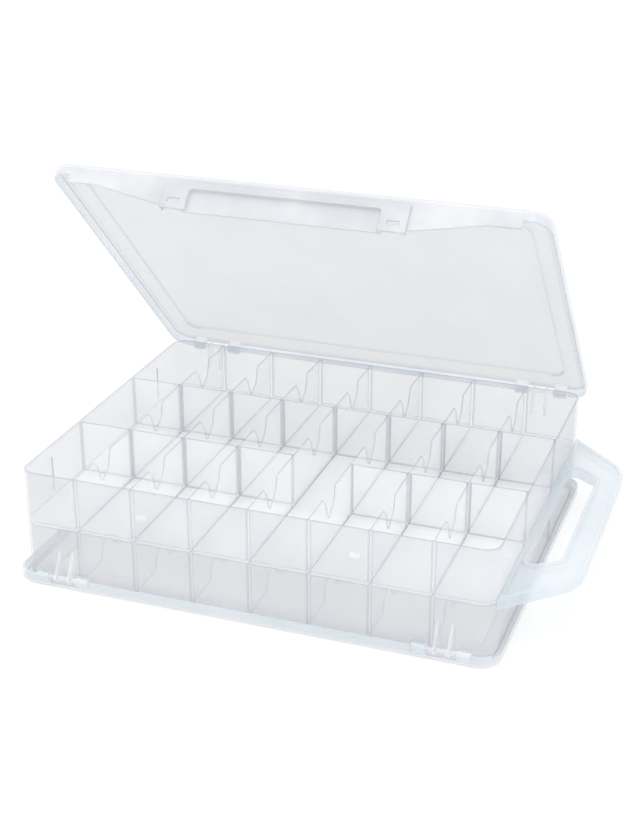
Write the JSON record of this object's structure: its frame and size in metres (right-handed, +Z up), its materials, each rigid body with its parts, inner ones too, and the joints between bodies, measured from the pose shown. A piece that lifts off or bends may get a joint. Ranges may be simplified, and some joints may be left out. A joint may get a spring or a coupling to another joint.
{
  "type": "double-sided organiser box",
  "caption": "Clear plastic thread box with a divided tray on both faces, two hinged snap-shut lids and a fixed loop handle.",
  "frame": {"origin": "middle of the raised field on the lower lid's outer face, the face the box stands on", "axes": "+X towards the carry handle, +Y towards the upper lid's hinge at the back, +Z up"},
  "size_m": [0.366, 0.2719, 0.2647],
  "materials": {
    "clear_body": "injection-moulded clear polypropylene, slightly milky",
    "clear_floor": "injection-moulded clear polypropylene, milkier where it is thick",
    "clear_lid": "injection-moulded clear polypropylene, glossy"
  },
  "bodies": {
    "box": {"carry_handle": "clear_body", "lower_catch_left": "clear_body", "lower_catch_right": "clear_body", "lower_divider_1": "clear_body", "lower_divider_2": "clear_body", "lower_divider_3": "clear_body", "lower_divider_4": "clear_body", "lower_divider_5": "clear_body", "lower_divider_6": "clear_body", "lower_divider_7": "clear_body", "lower_hinge_bracket_left": "clear_body", "lower_hinge_bracket_right": "clear_body", "lower_row_wall_front": "clear_body", "lower_row_wall_rear_left": "clear_body", "lower_row_wall_rear_right": "clear_body", "middle_floor": "clear_floor", "outer_wall": "clear_body", "upper_catch_left": "clear_body", "upper_catch_right": "clear_body", "upper_divider_1": "clear_body", "upper_divider_2": "clear_body", "upper_divider_3": "clear_body", "upper_divider_4": "clear_body", "upper_divider_5": "clear_body", "upper_divider_6": "clear_body", "upper_divider_7": "clear_body", "upper_hinge_bracket_left": "clear_body", "upper_hinge_bracket_right": "clear_body", "upper_row_wall_front_left": "clear_body", "upper_row_wall_front_right": "clear_body", "upper_row_wall_rear": "clear_body"},
    "upper_lid": {"upper_lid_latch": "clear_lid", "upper_lid_left_inner_lug": "clear_lid", "upper_lid_left_outer_lug": "clear_lid", "upper_lid_panel": "clear_lid", "upper_lid_right_inner_lug": "clear_lid", "upper_lid_right_outer_lug": "clear_lid", "upper_lid_skirt": "clear_lid"},
    "lower_lid": {"lower_lid_latch": "clear_lid", "lower_lid_left_inner_lug": "clear_lid", "lower_lid_left_outer_lug": "clear_lid", "lower_lid_panel": "clear_lid", "lower_lid_right_inner_lug": "clear_lid", "lower_lid_right_outer_lug": "clear_lid", "lower_lid_skirt": "clear_lid"}
  },
  "joints": [
    {"name": "upper_lid_hinge", "type": "hinge", "parent": "box", "child": "upper_lid", "pos_m": [0, 0.131, 0.0739], "axis": [-1, 0, 0], "range_deg": [-45.5, 64.5]},
    {"name": "lower_lid_hinge", "type": "hinge", "parent": "box", "child": "lower_lid", "pos_m": [0, -0.131, 0.0079], "axis": [-1, 0, 0], "range_deg": [0, 110]}
  ]
}
